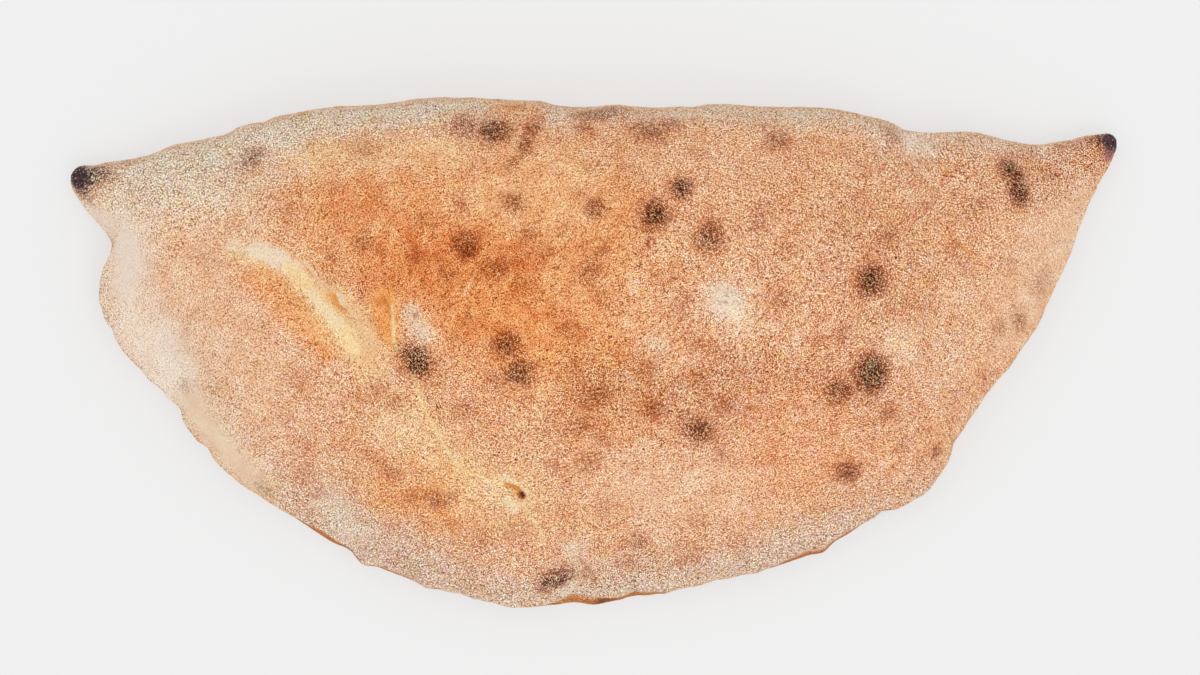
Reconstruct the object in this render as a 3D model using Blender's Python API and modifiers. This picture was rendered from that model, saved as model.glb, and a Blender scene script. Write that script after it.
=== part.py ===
# A ham calzone as it comes from the oven: a disc of dough folded over its filling, sealed along
# a curved rim and drawn out into a horn at each end. It is uncut, so it is one solid of one piece.
#
# Metres, +Z up. The fold runs along X on the +Y side, the sealed rim bows out to -Y, and the flat
# underside lies on z = 0 with the origin under the middle of the bounding box.

import math

import bmesh
import bpy
import numpy as np
from mathutils import Vector, noise

MM = 0.001

# Driving sizes, in millimetres
LENGTH = 320.0              # from tip to tip
WIDTH = 155.8               # from the fold to the rim
HEIGHT = 47.0               # the puffed top above the surface it rests on
CROWN_HEIGHT = 45.0         # the same before the swellings rise, half way along
HORN_HEIGHT = 5.5           # a pinched tip
CROWN_FULLNESS = 0.95       # lower keeps the calzone full nearer its horns
CROWN_PLACE = 0.42          # the highest point of a section, as a share of the way from fold to rim
FOLD_BULGE = 0.36           # height of the fold's widest point, as a share of the section's height
FOLD_TUCK = 10.0            # how far the fold rolls in under itself
NARROW_TUCK = 0.25          # the most that it rolls in, as a share of the section's width
FOLD_ROUNDNESS = 2.2
RIM_HEIGHT = 8.0            # the widest point of the upper layer at the rim
LOW_RIM = 0.45              # the most that it stands up, as a share of the section's height
RIM_FALL = 1.6              # how long the top stays level before it falls to the rim
RIM_STEEPNESS = 0.8
SEAM_DEPTH = 1.6            # the groove between the upper and the lower layer of dough
LIP_HEIGHT = 2.4            # the widest point of the thin lower layer
LIP_TUCK = 1.0              # how far the lower layer stays back where it doesn't show
LIP_ROUNDING = 2.2
HORN_LIFT = 1.4             # the horns curl up off the surface
HORN_LIFT_SHARE = 0.06      # over this share of the length at each end

# The edge on the fold side, from the left tip to the right tip, in millimetres. The tips are blunt:
# each edge has its own end there.
FOLD_EDGE = [
    (-158.5, 56), (-156, 57), (-150.5, 57.5), (-143, 58.5), (-135, 60), (-130.5, 62.5), (-119, 65),
    (-112.5, 66.5), (-107.5, 69), (-91.5, 73), (-79, 75), (-62, 76), (-55, 77.5), (-43, 78),
    (-22.5, 77), (-9.5, 75), (8.5, 75.5), (20, 74.5), (33, 76), (53.5, 75), (67.5, 75),
    (78.5, 73.5), (91, 70), (96, 67.5), (105, 67), (115.5, 67.5), (121.5, 65.5), (135, 63),
    (143.5, 65), (151, 65.5), (158.5, 66.5),
]

# The sealed edge, from the left tip round the pale lobe and along the rim to the right tip
RIM_EDGE = [
    (-160, 51.5), (-158.5, 48.5), (-154, 42), (-149, 37), (-146.5, 33), (-143.5, 29.5), (-147, 27.5),
    (-150.5, 23.5), (-151, 18), (-149, 9.5), (-146.5, 4.5), (-141.5, -2), (-131, -12), (-126.5, -17),
    (-123.5, -24.5), (-118, -30), (-111.5, -37.5), (-101, -44), (-90.5, -51), (-81.5, -56.5),
    (-74.5, -60), (-71, -63.5), (-68, -65.5), (-64, -65.5), (-54, -70), (-44, -72.5), (-32, -75.5),
    (-26, -77), (-18.5, -78), (-13, -76.5), (-5, -76), (1.5, -76.5), (8, -74.5), (19.5, -73),
    (39, -69), (55, -65), (69.5, -60), (76, -56), (86.5, -49.5), (97, -46.5), (102.5, -42),
    (108, -33.5), (114.5, -20), (130, 0), (136, 8.5), (139, 16.5), (145, 28.5), (149.5, 42.5),
    (156, 54.5), (160, 62.5),
]

# Where the thin lower layer shows past the upper one: x of its middle, half length, how far
SHOWN_LIP = [
    (-82.0, 8.0, 1.9), (-57.0, 7.0, 1.0), (-3.5, 8.5, 3.0), (18.0, 9.0, 1.0), (66.0, 14.0, 1.5),
]

# Creases and dents in the top: the line that each follows, its depth and its half width
CREASES = {
    "pale crease": ([(-119, 35), (-105, 32), (-93, 25), (-82, 14), (-74, 3), (-67, -5)], 3.2, 6.0),
    "long wrinkle": ([(-56, 8), (-53, -6), (-46, -28), (-38, -38), (-24, -43), (-14, -55)], 0.7, 4.0),
    "behind the lobe": ([(-146, 30), (-138, 26), (-135, 14), (-130, 2), (-123, -12)], 2.4, 6.0),
    "right of the fold": ([(95, 70), (100, 59), (107, 49)], 3.0, 7.0),
    "rim dent": ([(-1, -76), (-5, -66), (-7, -58)], 2.4, 5.0),
    "lower left dent": ([(-71, -64), (-78, -51), (-83, -40)], 1.8, 7.0),
    "lower right dent": ([(91, -49), (82, -44), (74, -41)], 1.4, 6.0),
}

# Swellings in the top: x, y, radius and height
SWELLINGS = [
    (-106, 2, 26, 2.6), (-60, 34, 22, 1.8), (-20, -12, 24, 1.4), (4, 44, 26, 1.6), (36, 4, 22, 1.2),
    (72, 30, 24, 1.8), (84, -14, 18, 1.6), (30, -40, 24, 1.2), (-48, -44, 18, 1.6), (122, 44, 14, 1.4),
]

# The slow unevenness of risen dough: the size of its waves and their height
WAVES = [(34.0, 1.0), (15.0, 0.5)]
TOP_FACING = (0.05, 0.45)   # relief fades in between these values of the normal's z
TOP_LEVEL = (4.0, 11.0)     # and between these heights, so that it spares the seam and the lip

# How finely the cage is divided
SECTIONS = 54
END_CROWDING = 0.3          # how far the sections crowd towards the two horns
TOP_POINTS = 17
EDGE_CROWDING = 0.7         # how far the points of a section's top crowd towards its two edges
UNDER_STEPS = 7
RING_POINTS = TOP_POINTS + UNDER_STEPS + 4    # with the seam, the lip, its foot and the fold's underside
SPLINE_STEPS = 10

CRUST_COLOUR = (0.69, 0.34, 0.16, 1.0)
CRUST_ROUGHNESS = 0.75


def clear_scene():
    for obj in list(bpy.data.objects):
        bpy.data.objects.remove(obj, do_unlink=True)


def ramp(value, low, high):
    """0 below low, 1 above high and a smooth step between."""
    share = min(max((value - low) / (high - low), 0.0), 1.0)
    return share * share * (3.0 - 2.0 * share)


def smooth_line(points):
    """A Catmull-Rom curve through the points, as an array of closely spaced ones."""
    spots = np.array(points, float)
    spots = np.vstack([2 * spots[0] - spots[1], spots, 2 * spots[-1] - spots[-2]])
    line = []
    for a, b, c, d in zip(spots, spots[1:], spots[2:], spots[3:]):
        for t in np.arange(SPLINE_STEPS) / SPLINE_STEPS:
            bend = (c - a) * t + (2 * a - 5 * b + 4 * c - d) * t**2 + (3 * b - a - 3 * c + d) * t**3
            line.append(b + bend / 2)
    line.append(spots[-2])
    return np.array(line)


def along(line, share):
    """The point of the line at this share of its length."""
    steps = np.linalg.norm(np.diff(line, axis=0), axis=1)
    length = np.concatenate([[0.0], np.cumsum(steps)])
    return np.array([np.interp(share * length[-1], length, line[:, axis]) for axis in (0, 1)])


def lip_shown(x):
    """How far the lower layer shows past the upper one at this place along the rim."""
    return sum(far * math.exp(-((x - middle) / half) ** 2) for middle, half, far in SHOWN_LIP)


def top_height(share, fold_height, crown, rim_height):
    """The top of a section: a round bolster at the fold, then a long fall to the rim."""
    if share < CROWN_PLACE:
        climb = 1.0 - (1.0 - share / CROWN_PLACE) ** FOLD_ROUNDNESS
        return fold_height + (crown - fold_height) * climb ** (1.0 / FOLD_ROUNDNESS)
    fall = 1.0 - ((share - CROWN_PLACE) / (1.0 - CROWN_PLACE)) ** RIM_FALL
    return rim_height + (crown - rim_height) * max(fall, 0.0) ** RIM_STEEPNESS


def section_outline(width, crown, shown):
    """One closed section as (distance from the fold, height), over the top and back underneath."""
    fold_height = FOLD_BULGE * crown
    rim_height = min(RIM_HEIGHT, LOW_RIM * crown)
    squeeze = rim_height / RIM_HEIGHT
    upper = width - shown * squeeze
    lip = width - max(0.0, LIP_TUCK - shown) * squeeze
    tuck = min(FOLD_TUCK, NARROW_TUCK * width)
    outline = []
    for i in range(TOP_POINTS):
        even = i / (TOP_POINTS - 1)
        crowded = (1.0 - math.cos(math.pi * even)) / 2.0
        share = even + (crowded - even) * EDGE_CROWDING
        outline.append((share * upper, top_height(share, fold_height, crown, rim_height)))
    outline.append((min(upper, lip) - SEAM_DEPTH * squeeze, (rim_height + LIP_HEIGHT * squeeze) / 2.0))
    outline.append((lip, LIP_HEIGHT * squeeze))
    foot = lip - LIP_ROUNDING * squeeze
    for i in range(UNDER_STEPS + 1):
        outline.append((foot + (tuck - foot) * i / UNDER_STEPS, 0.0))
    corner = 1.0 - math.sqrt(0.5)
    outline.append((corner * tuck, corner * fold_height))
    return outline


def section_points(share, fold, rim):
    """One section's points in space, at this share of the way from the left tip to the right."""
    start = along(fold, share)
    end = along(rim, share)
    width = np.linalg.norm(end - start)
    across = (end - start) / width
    crown = HORN_HEIGHT + (CROWN_HEIGHT - HORN_HEIGHT) * math.sin(math.pi * share) ** CROWN_FULLNESS
    lift = HORN_LIFT * (1.0 - ramp(min(share, 1.0 - share), 0.0, HORN_LIFT_SHARE))
    points = []
    for distance, height in section_outline(width, crown, lip_shown(end[0])):
        x, y = start + across * distance
        points.append(Vector((x, y, height + lift)) * MM)
    return points


def calzone_cage():
    """The coarse cage: one ring drawn out section by section from horn to horn, then closed."""
    fold = smooth_line(FOLD_EDGE)
    rim = smooth_line(RIM_EDGE)
    bm = bmesh.new()
    place = bm.verts.layers.int.new("place")
    ring = bmesh.ops.create_circle(bm, radius=1.0, segments=RING_POINTS)["verts"]
    for i, vert in enumerate(ring):
        vert[place] = i
    edges = list(bm.edges)
    for i in range(SECTIONS):
        if i:
            grown = bmesh.ops.extrude_edge_only(bm, edges=edges)["geom"]
            ring = [item for item in grown if isinstance(item, bmesh.types.BMVert)]
            edges = [item for item in grown if isinstance(item, bmesh.types.BMEdge)]
        even = i / (SECTIONS - 1)
        share = even - END_CROWDING * math.sin(2.0 * math.pi * even) / (2.0 * math.pi)
        points = section_points(share, fold, rim)
        for vert in ring:
            vert.co = points[vert[place]]
    bmesh.ops.holes_fill(bm, edges=bm.edges, sides=RING_POINTS)
    bmesh.ops.recalc_face_normals(bm, faces=bm.faces)
    mesh = bpy.data.meshes.new("calzone_cage")
    bm.to_mesh(mesh)
    bm.free()
    return mesh


def subdivided(cage):
    """The cage rounded by one level of Subdivision Surface, as a mesh of its own."""
    helper = bpy.data.objects.new("calzone_cage", cage)
    bpy.context.scene.collection.objects.link(helper)
    rounding = helper.modifiers.new("rounding", "SUBSURF")
    rounding.levels = 1
    rounding.render_levels = 1
    graph = bpy.context.evaluated_depsgraph_get()
    mesh = bpy.data.meshes.new_from_object(helper.evaluated_get(graph))
    bpy.data.objects.remove(helper, do_unlink=True)
    bpy.data.meshes.remove(cage)
    return mesh


def distance_to(line, x, y):
    """How far (x, y) lies from a line of points."""
    starts = line[:-1]
    runs = line[1:] - starts
    offsets = np.array([x, y]) - starts
    shares = np.clip((offsets * runs).sum(axis=1) / (runs * runs).sum(axis=1), 0.0, 1.0)
    return np.linalg.norm(offsets - runs * shares[:, None], axis=1).min()


def relief(x, y, creases):
    """How far the top rises or sinks at (x, y), in millimetres."""
    height = 0.0
    for line, depth, half_width in creases:
        height -= depth * math.exp(-((distance_to(line, x, y) / half_width) ** 2))
    for centre_x, centre_y, radius, rise in SWELLINGS:
        height += rise * math.exp(-((x - centre_x) ** 2 + (y - centre_y) ** 2) / radius**2)
    for size, rise in WAVES:
        height += rise * noise.noise(Vector((x / size, y / size, 0.0)))
    return height


def press_relief(mesh):
    """Creases, swellings and waves, over the upper side alone."""
    creases = [(smooth_line(line), depth, width) for line, depth, width in CREASES.values()]
    facing = [ramp(vert.normal.z, *TOP_FACING) for vert in mesh.vertices]
    for vert, weight in zip(mesh.vertices, facing):
        x, y, z = vert.co / MM
        weight *= ramp(z, *TOP_LEVEL)
        if weight:
            vert.co.z += weight * relief(x, y, creases) * MM


def fit_to_size(mesh):
    """Brings the box to its driving sizes, with the origin under its middle, on the underside."""
    corners = np.array([vert.co for vert in mesh.vertices])
    low, high = corners.min(axis=0), corners.max(axis=0)
    foot = np.array([(low[0] + high[0]) / 2, (low[1] + high[1]) / 2, low[2]])
    scale = np.array([LENGTH, WIDTH, HEIGHT]) * MM / (high - low)
    for vert, corner in zip(mesh.vertices, corners):
        vert.co = (corner - foot) * scale


def crust_material():
    material = bpy.data.materials.new("baked crust")
    material.use_nodes = True
    shader = material.node_tree.nodes["Principled BSDF"]
    shader.inputs["Base Color"].default_value = CRUST_COLOUR
    shader.inputs["Roughness"].default_value = CRUST_ROUGHNESS
    shader.inputs["Metallic"].default_value = 0.0
    return material


def make_calzone(collection):
    mesh = subdivided(calzone_cage())
    press_relief(mesh)
    fit_to_size(mesh)
    mesh.name = "calzone"
    mesh.materials.append(crust_material())
    mesh.shade_smooth()
    calzone = bpy.data.objects.new("calzone", mesh)
    collection.objects.link(calzone)
    return calzone


def main():
    clear_scene()
    collection = bpy.data.collections.new("ham calzone")
    bpy.context.scene.collection.children.link(collection)
    make_calzone(collection)


main()
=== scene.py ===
import math

import bmesh
import bpy
import numpy as np
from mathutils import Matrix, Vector, noise
from mathutils.bvhtree import BVHTree
from mathutils.kdtree import KDTree


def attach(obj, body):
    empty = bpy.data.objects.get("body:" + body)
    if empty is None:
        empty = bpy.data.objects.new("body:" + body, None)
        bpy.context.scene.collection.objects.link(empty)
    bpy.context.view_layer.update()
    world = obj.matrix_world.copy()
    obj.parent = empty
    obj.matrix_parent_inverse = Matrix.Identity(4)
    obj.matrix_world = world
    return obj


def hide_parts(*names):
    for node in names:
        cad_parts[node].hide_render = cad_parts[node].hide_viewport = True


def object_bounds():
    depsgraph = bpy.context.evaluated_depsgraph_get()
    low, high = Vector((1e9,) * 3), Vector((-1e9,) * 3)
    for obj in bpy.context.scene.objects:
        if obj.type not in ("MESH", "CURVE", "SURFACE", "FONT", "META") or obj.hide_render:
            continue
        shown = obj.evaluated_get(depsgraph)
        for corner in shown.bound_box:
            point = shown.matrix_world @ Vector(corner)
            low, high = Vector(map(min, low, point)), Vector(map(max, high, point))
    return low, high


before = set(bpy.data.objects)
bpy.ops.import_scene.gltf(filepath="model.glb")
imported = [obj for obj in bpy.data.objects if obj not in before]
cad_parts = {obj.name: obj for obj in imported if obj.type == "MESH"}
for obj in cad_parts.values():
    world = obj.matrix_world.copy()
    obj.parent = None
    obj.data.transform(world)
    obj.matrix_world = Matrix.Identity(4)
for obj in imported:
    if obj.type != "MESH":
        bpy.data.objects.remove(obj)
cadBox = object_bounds()
mm = 0.001
print("frame loaded")


# Places on the crust are given as they are seen: pixels of the 1200 x 675 picture, x right, y down.
# Sizes on the crust are millimetres.

view = {
    "width": 1200,                  # pixels
    "lens": 200.0,                  # millimetres, long enough that the sides hardly show
    "middle": (600.0, 337.5),       # pixels
    "origin": (593.5, 352.5),       # the pixel that shows x = 0, y = 0
    "pixel": 0.30505,               # millimetres a pixel at the height below
    "plane": 10.0,                  # millimetres above the floor, about where the outline is
}
studio = {                          # places and sizes in metres, powers in watts
    "floorSize": 8.0,
    "floorHeight": -0.0002,
    "floorColour": (0.25, 0.25, 0.25),
    "floorRoughness": 0.9,
    "floorGlow": 0.60,              # a light table: shadows on it stay faint
    "skyStrength": 0.86,
    "keyPlace": (0.55, -0.75, 1.5),
    "keySize": 1.3,
    "keyPower": 6.0,
    "fillPlace": (-0.9, 0.5, 1.4),
    "fillSize": 1.6,
    "fillPower": 2.0,
}


def pictureMillimetres(x, y):
    return ((x - view["origin"][0]) * view["pixel"], (view["origin"][1] - y) * view["pixel"])


def addObject(name, data):
    made = bpy.data.objects.new(name, data)
    bpy.context.scene.collection.objects.link(made)
    return made


def addCamera():
    data = bpy.data.cameras.new("camera")
    data.lens = view["lens"]
    data.clip_end = 50.0
    made = addObject("camera", data)
    distance = view["width"] * view["pixel"] * view["lens"] / data.sensor_width
    made.location = Vector((*pictureMillimetres(*view["middle"]), view["plane"] + distance)) * mm
    bpy.context.scene.camera = made
    return made


def addSoftLight(name, place, size, power):
    data = bpy.data.lights.new(name, "AREA")
    data.shape = "DISK"
    data.size = size
    data.energy = power
    light = addObject(name, data)
    light.location = place
    light.rotation_euler = (-Vector(place)).to_track_quat("-Z", "Y").to_euler()


def addStudio():
    bm = bmesh.new()
    bmesh.ops.create_grid(bm, x_segments=1, y_segments=1, size=studio["floorSize"] / 2)
    bmesh.ops.translate(bm, verts=bm.verts, vec=(0, 0, studio["floorHeight"]))
    mesh = bpy.data.meshes.new("floor")
    bm.to_mesh(mesh)
    bm.free()
    floor = addObject("floor", mesh)
    paint = bpy.data.materials.new("paleFloor")
    paint.use_nodes = True
    shader = paint.node_tree.nodes["Principled BSDF"]
    shader.inputs["Base Color"].default_value = (*studio["floorColour"], 1)
    shader.inputs["Roughness"].default_value = studio["floorRoughness"]
    shader.inputs["Emission Color"].default_value = (1, 1, 1, 1)
    shader.inputs["Emission Strength"].default_value = studio["floorGlow"]
    mesh.materials.append(paint)
    world = bpy.data.worlds.new("softSky")
    world.use_nodes = True
    sky = world.node_tree.nodes["Background"]
    sky.inputs["Color"].default_value = (1, 1, 1, 1)
    sky.inputs["Strength"].default_value = studio["skyStrength"]
    bpy.context.scene.world = world
    bpy.context.scene.view_settings.view_transform = "Standard"
    addSoftLight("key", studio["keyPlace"], studio["keySize"], studio["keyPower"])
    addSoftLight("fill", studio["fillPlace"], studio["fillSize"], studio["fillPower"])


camera = addCamera()
addStudio()
print("studio set")


# shader maths, written as sums

class Wire:
    def __init__(self, tree, socket):
        self.tree = tree
        self.socket = socket

    # any node: its type, its settings, then the values or wires of its sockets
    def add(self, kind, settings, sockets, output=0):
        node = self.tree.nodes.new(kind)
        for name, value in settings.items():
            if name == "stops":
                ramp = node.color_ramp
                while len(ramp.elements) < len(value):
                    ramp.elements.new(1.0)
                for element, (place, colour) in zip(ramp.elements, value):
                    element.position = place
                    element.color = (*colour, 1)
            else:
                setattr(node, name, value)
        for name, value in sockets.items():
            if isinstance(value, Wire):
                self.tree.links.new(value.socket, node.inputs[name])
            else:
                node.inputs[name].default_value = value
        return Wire(self.tree, node.outputs[output]) if node.outputs else None

    def math(self, operation, first, second):
        return self.add("ShaderNodeMath", {"operation": operation}, {0: first, 1: second})

    def __add__(self, other):
        return self.math("ADD", self, other)

    def __radd__(self, other):
        return self.math("ADD", other, self)

    def __sub__(self, other):
        return self.math("SUBTRACT", self, other)

    def __rsub__(self, other):
        return self.math("SUBTRACT", other, self)

    def __mul__(self, other):
        return self.math("MULTIPLY", self, other)

    def __rmul__(self, other):
        return self.math("MULTIPLY", other, self)

    # a smooth step from low to high
    def step(self, low, high, start=0.0, end=1.0):
        sockets = {"Value": self, "From Min": low, "From Max": high, "To Min": start, "To Max": end}
        return self.add("ShaderNodeMapRange", {"interpolation_type": "SMOOTHSTEP"}, sockets)

    # this colour mixed towards another one
    def mixed(self, factor, other):
        settings = {"data_type": "RGBA", "clamp_factor": True}
        return self.add("ShaderNodeMix", settings, {0: factor, 6: self, 7: other}, 2)

    # sums on colours and places
    def vector(self, operation, other):
        value = other if isinstance(other, (Wire, tuple)) else (other,) * 3
        return self.add("ShaderNodeVectorMath", {"operation": operation}, {0: self, 1: value})

    def times(self, other):
        return self.vector("MULTIPLY", other)

    def plus(self, other):
        return self.vector("ADD", other)

    def less(self, other):
        return self.vector("SUBTRACT", other)

    # the texture coordinates of this wire, in a noise of the given size in millimetres
    def noise(self, size, detail=2.0, roughness=0.5, warp=0.0, shift=0.0):
        moved = self
        if shift:
            moved = self.plus(shift)
        sockets = {"Vector": moved, "Scale": 1000.0 / size, "Detail": detail, "Roughness": roughness,
                   "Distortion": warp}
        return self.add("ShaderNodeTexNoise", {}, sockets)


# the crust's surface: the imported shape, made fine

crust = {
    "mergeDistance": 1e-6,          # metres
    "underNormal": 0.9,             # faces of the underside point this straight down
    "underHeight": 1e-5,            # metres, and lie this low
    "joinAngle": 60.0,              # pairs of triangles flatter than this become one face again
    "underEdge": 9.0,               # millimetres, the underside's triangles before they are smoothed
    "underRounds": 6,
    "underSmoothing": 3,
    "rounds": 4,                    # of halving, over the whole crust
    "longEdge": 1.32,               # millimetres, longer edges of the upper side are halved
    "longUnderEdge": 2.8,
    "fineEdge": 0.68,               # near the drawn lines and the torn places
    "fineReach": 1.8,
}


def pixelRay(x, y):
    start = camera.location
    through = Vector((*pictureMillimetres(x, y), view["plane"])) * mm
    return start, (through - start).normalized()


# the point of the crust, in millimetres, that the camera sees at a pixel
def onCrust(x, y):
    hit = crustTree.ray_cast(*pixelRay(x, y))[0]
    if hit is None:
        hit = crustTree.find_nearest(Vector((*pictureMillimetres(x, y), view["plane"])) * mm)[0]
    return np.array(hit) / mm


def newObject(name, bm):
    mesh = bpy.data.meshes.new(name)
    bm.to_mesh(mesh)
    bm.free()
    mesh.shade_smooth()
    return addObject(name, mesh)


def liesFlat(face):
    low = all(v.co.z < crust["underHeight"] for v in face.verts)
    return low and abs(face.normal.z) > crust["underNormal"]


# replaces the underside's long slivers with even triangles
def evenUnderside(bm):
    bmesh.ops.delete(bm, geom=[f for f in bm.faces if liesFlat(f)], context="FACES")
    border = {e for e in bm.edges if e.is_boundary}
    rim = {v for e in border for v in e.verts}
    bmesh.ops.triangle_fill(bm, edges=list(border), use_beauty=True, normal=(0, 0, -1))
    for _ in range(crust["underRounds"]):
        under = [f for f in bm.faces if liesFlat(f)]
        inner = {e for f in under for e in f.edges} - border
        tooLong = [e for e in inner if e.calc_length() > crust["underEdge"] * mm]
        if not tooLong:
            break
        bmesh.ops.subdivide_edges(bm, edges=tooLong, cuts=1)
        cut = bmesh.ops.triangulate(bm, faces=[f for f in bm.faces if liesFlat(f)])
        inner = {e for f in cut["faces"] for e in f.edges} - border
        bmesh.ops.beautify_fill(bm, faces=cut["faces"], edges=list(inner))
        loose = list({v for f in bm.faces if liesFlat(f) for v in f.verts} - rim)
        for _ in range(crust["underSmoothing"]):
            bmesh.ops.smooth_vert(bm, verts=loose, factor=0.5, use_axis_x=True, use_axis_y=True)


# one round of subdivision surface, kept as plain faces
def smoothedOnce(made):
    smoothing = made.modifiers.new("smoothing", "SUBSURF")
    smoothing.levels = 1
    smoothing.render_levels = 1
    graph = bpy.context.evaluated_depsgraph_get()
    finer = bpy.data.meshes.new_from_object(made.evaluated_get(graph))
    made.modifiers.clear()
    coarse = made.data
    made.data = finer
    bpy.data.meshes.remove(coarse)


def makeShell():
    bm = bmesh.new()
    bm.from_mesh(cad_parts["calzone"].data)
    bmesh.ops.remove_doubles(bm, verts=bm.verts, dist=crust["mergeDistance"])
    evenUnderside(bm)
    upper = [f for f in bm.faces if not liesFlat(f)]
    angle = math.radians(crust["joinAngle"])
    bmesh.ops.join_triangles(bm, faces=upper, angle_face_threshold=angle, angle_shape_threshold=angle)
    bmesh.ops.recalc_face_normals(bm, faces=bm.faces)
    made = newObject("calzoneCrust", bm)
    smoothedOnce(made)
    return made


shell = makeShell()
crustTree = BVHTree.FromObject(shell, bpy.context.evaluated_depsgraph_get())
print("shell:", len(shell.data.polygons), "faces")


# lines drawn on the crust

lines = {
    "creaseEdge": [(266, 236), (281, 244), (293, 256), (305, 265), (316, 277), (327, 289), (334, 297)],
    "tear": [(331, 296), (336, 302), (342, 308)],
    "orangeLine": [(379, 304), (384, 300), (389, 307), (392, 317)],
    "thinLine": [(392, 306), (393, 320), (395, 343), (403, 354), (410, 366), (415, 380), (420, 398),
                 (430, 420), (441, 438), (448, 452), (457, 463), (467, 473), (481, 477), (504, 485)],
    "smallTear": [(505, 484.5), (512, 486.5), (518, 490.5), (522, 496)],
    "tail": [(523, 503), (531, 517), (539, 529), (545, 538)],
    "faintLine": [(472, 279), (464, 296)],
    "rightLine": [(890, 350), (925, 335)],
    "scratch": [(960, 245), (966, 249), (972, 255)],
    "rimWrinkle": [(577, 556), (583, 564), (590, 573), (597, 582)],
}
pits = {
    "bubblePit": (415, 315),
    "smallPit": (725, 302),
}
lineStep = 4.0                      # pixels from point to point of a smoothed line


# a smooth line through the given pixels, laid on the crust
def laidLine(pixels):
    points = [np.array(p, float) for p in pixels]
    points = [2 * points[0] - points[1], *points, 2 * points[-1] - points[-2]]
    laid = []
    for before, start, end, after in zip(points, points[1:], points[2:], points[3:]):
        steps = max(1, round(np.linalg.norm(end - start) / lineStep))
        for t in np.arange(steps) / steps:
            bend = 2 * before - 5 * start + 4 * end - after
            twist = 3 * start - before - 3 * end + after
            laid.append(start + 0.5 * t * (end - before + t * (bend + t * twist)))
    laid.append(points[-2])
    return np.array([onCrust(*p) for p in laid])


laid = {name: laidLine(pixels) for name, pixels in lines.items()}
pitPlaces = {name: onCrust(*pixel) for name, pixel in pits.items()}


neck = {                            # the dough between the left horn and the lobe, drawn smooth
    "pixel": (121, 224),
    "reach": 11.0,                  # millimetres
    "lowest": 3.0,
    "rounds": 40,
}


def midpoint(edge):
    return (edge.verts[0].co + edge.verts[1].co) / 2


# halves long edges, and goes on to short ones near the lines and pits
def refineShell():
    sharp = [p for points in laid.values() for p in points] + list(pitPlaces.values())
    near = KDTree(len(sharp))
    for i, point in enumerate(sharp):
        near.insert(Vector(point) * mm, i)
    near.balance()
    bm = bmesh.new()
    bm.from_mesh(shell.data)
    for _ in range(crust["rounds"]):
        tooLong = []
        for edge in bm.edges:
            length = edge.calc_length() / mm
            if length < crust["fineEdge"]:
                continue
            middle = midpoint(edge)
            above = max(v.co.z for v in edge.verts) > 2 * crust["underHeight"]
            limit = crust["longEdge"] if above else crust["longUnderEdge"]
            if length > limit or near.find(middle)[2] < crust["fineReach"] * mm:
                tooLong.append(edge)
        if not tooLong:
            break
        bmesh.ops.subdivide_edges(bm, edges=tooLong, cuts=1, use_grid_fill=True)
        bmesh.ops.triangulate(bm, faces=[f for f in bm.faces if len(f.verts) > 4])
    bmesh.ops.triangulate(bm, faces=bm.faces)
    middle = Vector(onCrust(*neck["pixel"])) * mm
    reach, lowest = neck["reach"] * mm, neck["lowest"] * mm
    slack = [v for v in bm.verts if (v.co - middle).length < reach and v.co.z > lowest]
    for _ in range(neck["rounds"]):
        bmesh.ops.smooth_vert(bm, verts=slack, factor=0.5, use_axis_x=True, use_axis_y=True, use_axis_z=True)
    bm.to_mesh(shell.data)
    bm.free()


refineShell()
print("crust refined:", len(shell.data.polygons), "triangles")


# arrays of the crust's points, in millimetres

def readVectors(items, name):
    values = np.empty(len(items) * 3)
    items.foreach_get(name, values)
    return values.reshape(-1, 3)


place = readVectors(shell.data.vertices, "co") / mm
facing = readVectors(shell.data.vertex_normals, "vector")
eye = np.array(camera.location) / mm
spread = (eye[2] - view["plane"]) / (eye[2] - place[:, 2])
pixelX = view["origin"][0] + (eye[0] + (place[:, 0] - eye[0]) * spread) / view["pixel"]
pixelY = view["origin"][1] - (eye[1] + (place[:, 1] - eye[1]) * spread) / view["pixel"]


# noise from -1 to 1 over a whole array of points
def ripple(points, size, seed):
    shift = Vector((seed * 7.13, seed * 3.71, seed * 5.37))
    return np.array([noise.noise(Vector(p) / size + shift) for p in points])


def smoothStep(value, low, high):
    t = np.clip((value - low) / (high - low), 0, 1)
    return t * t * (3 - 2 * t)


# for each point: how far a line is, how far along it, and which side of it the point is on
def alongLine(points, line):
    nearest = np.full(len(points), 1e9)
    share = np.zeros(len(points))
    side = np.zeros(len(points))
    lengths = np.linalg.norm(np.diff(line, axis=0), axis=1)
    starts = np.concatenate(([0], np.cumsum(lengths)))
    for a, b, start, length in zip(line, line[1:], starts, lengths):
        run = b - a
        t = np.clip((points - a) @ run / (run @ run), 0, 1)
        off = points - (a + t[:, None] * run)
        far = np.linalg.norm(off, axis=1)
        closer = far < nearest
        nearest[closer] = far[closer]
        share[closer] = ((start + t * length) / starts[-1])[closer]
        side[closer] = np.sign(run[0] * off[:, 1] - run[1] * off[:, 0])[closer]
    return nearest, share, side


wander = {                          # how the borders of the tones stray, so that none is a clean line
    "waves": (22, 7),               # millimetres: long waves and short ones
    "broad": (16, 6),               # pixels that each of them moves the border of a broad patch
    "small": (5, 4),
    "band": (0, 3),
    "broadWidth": 30,               # pixels: patches wider than this are broad
    "patchFade": (1.6, 2.4),        # how fast a tone fades beyond its width, and how suddenly
    "bandFade": (1.0, 4),
}


def twoRipples(size, seed):
    first, second = ripple(place, size, seed), ripple(place, size, seed + 1)
    return np.stack((first, second, np.zeros(len(place))), axis=1)


pixels = np.stack((pixelX, pixelY, np.zeros(len(place))), axis=1)
wobble = twoRipples(wander["waves"][0], 1)
finerWobble = twoRipples(wander["waves"][1], 3)


# the crust's broad tones, painted in soft patches one over another

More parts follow.
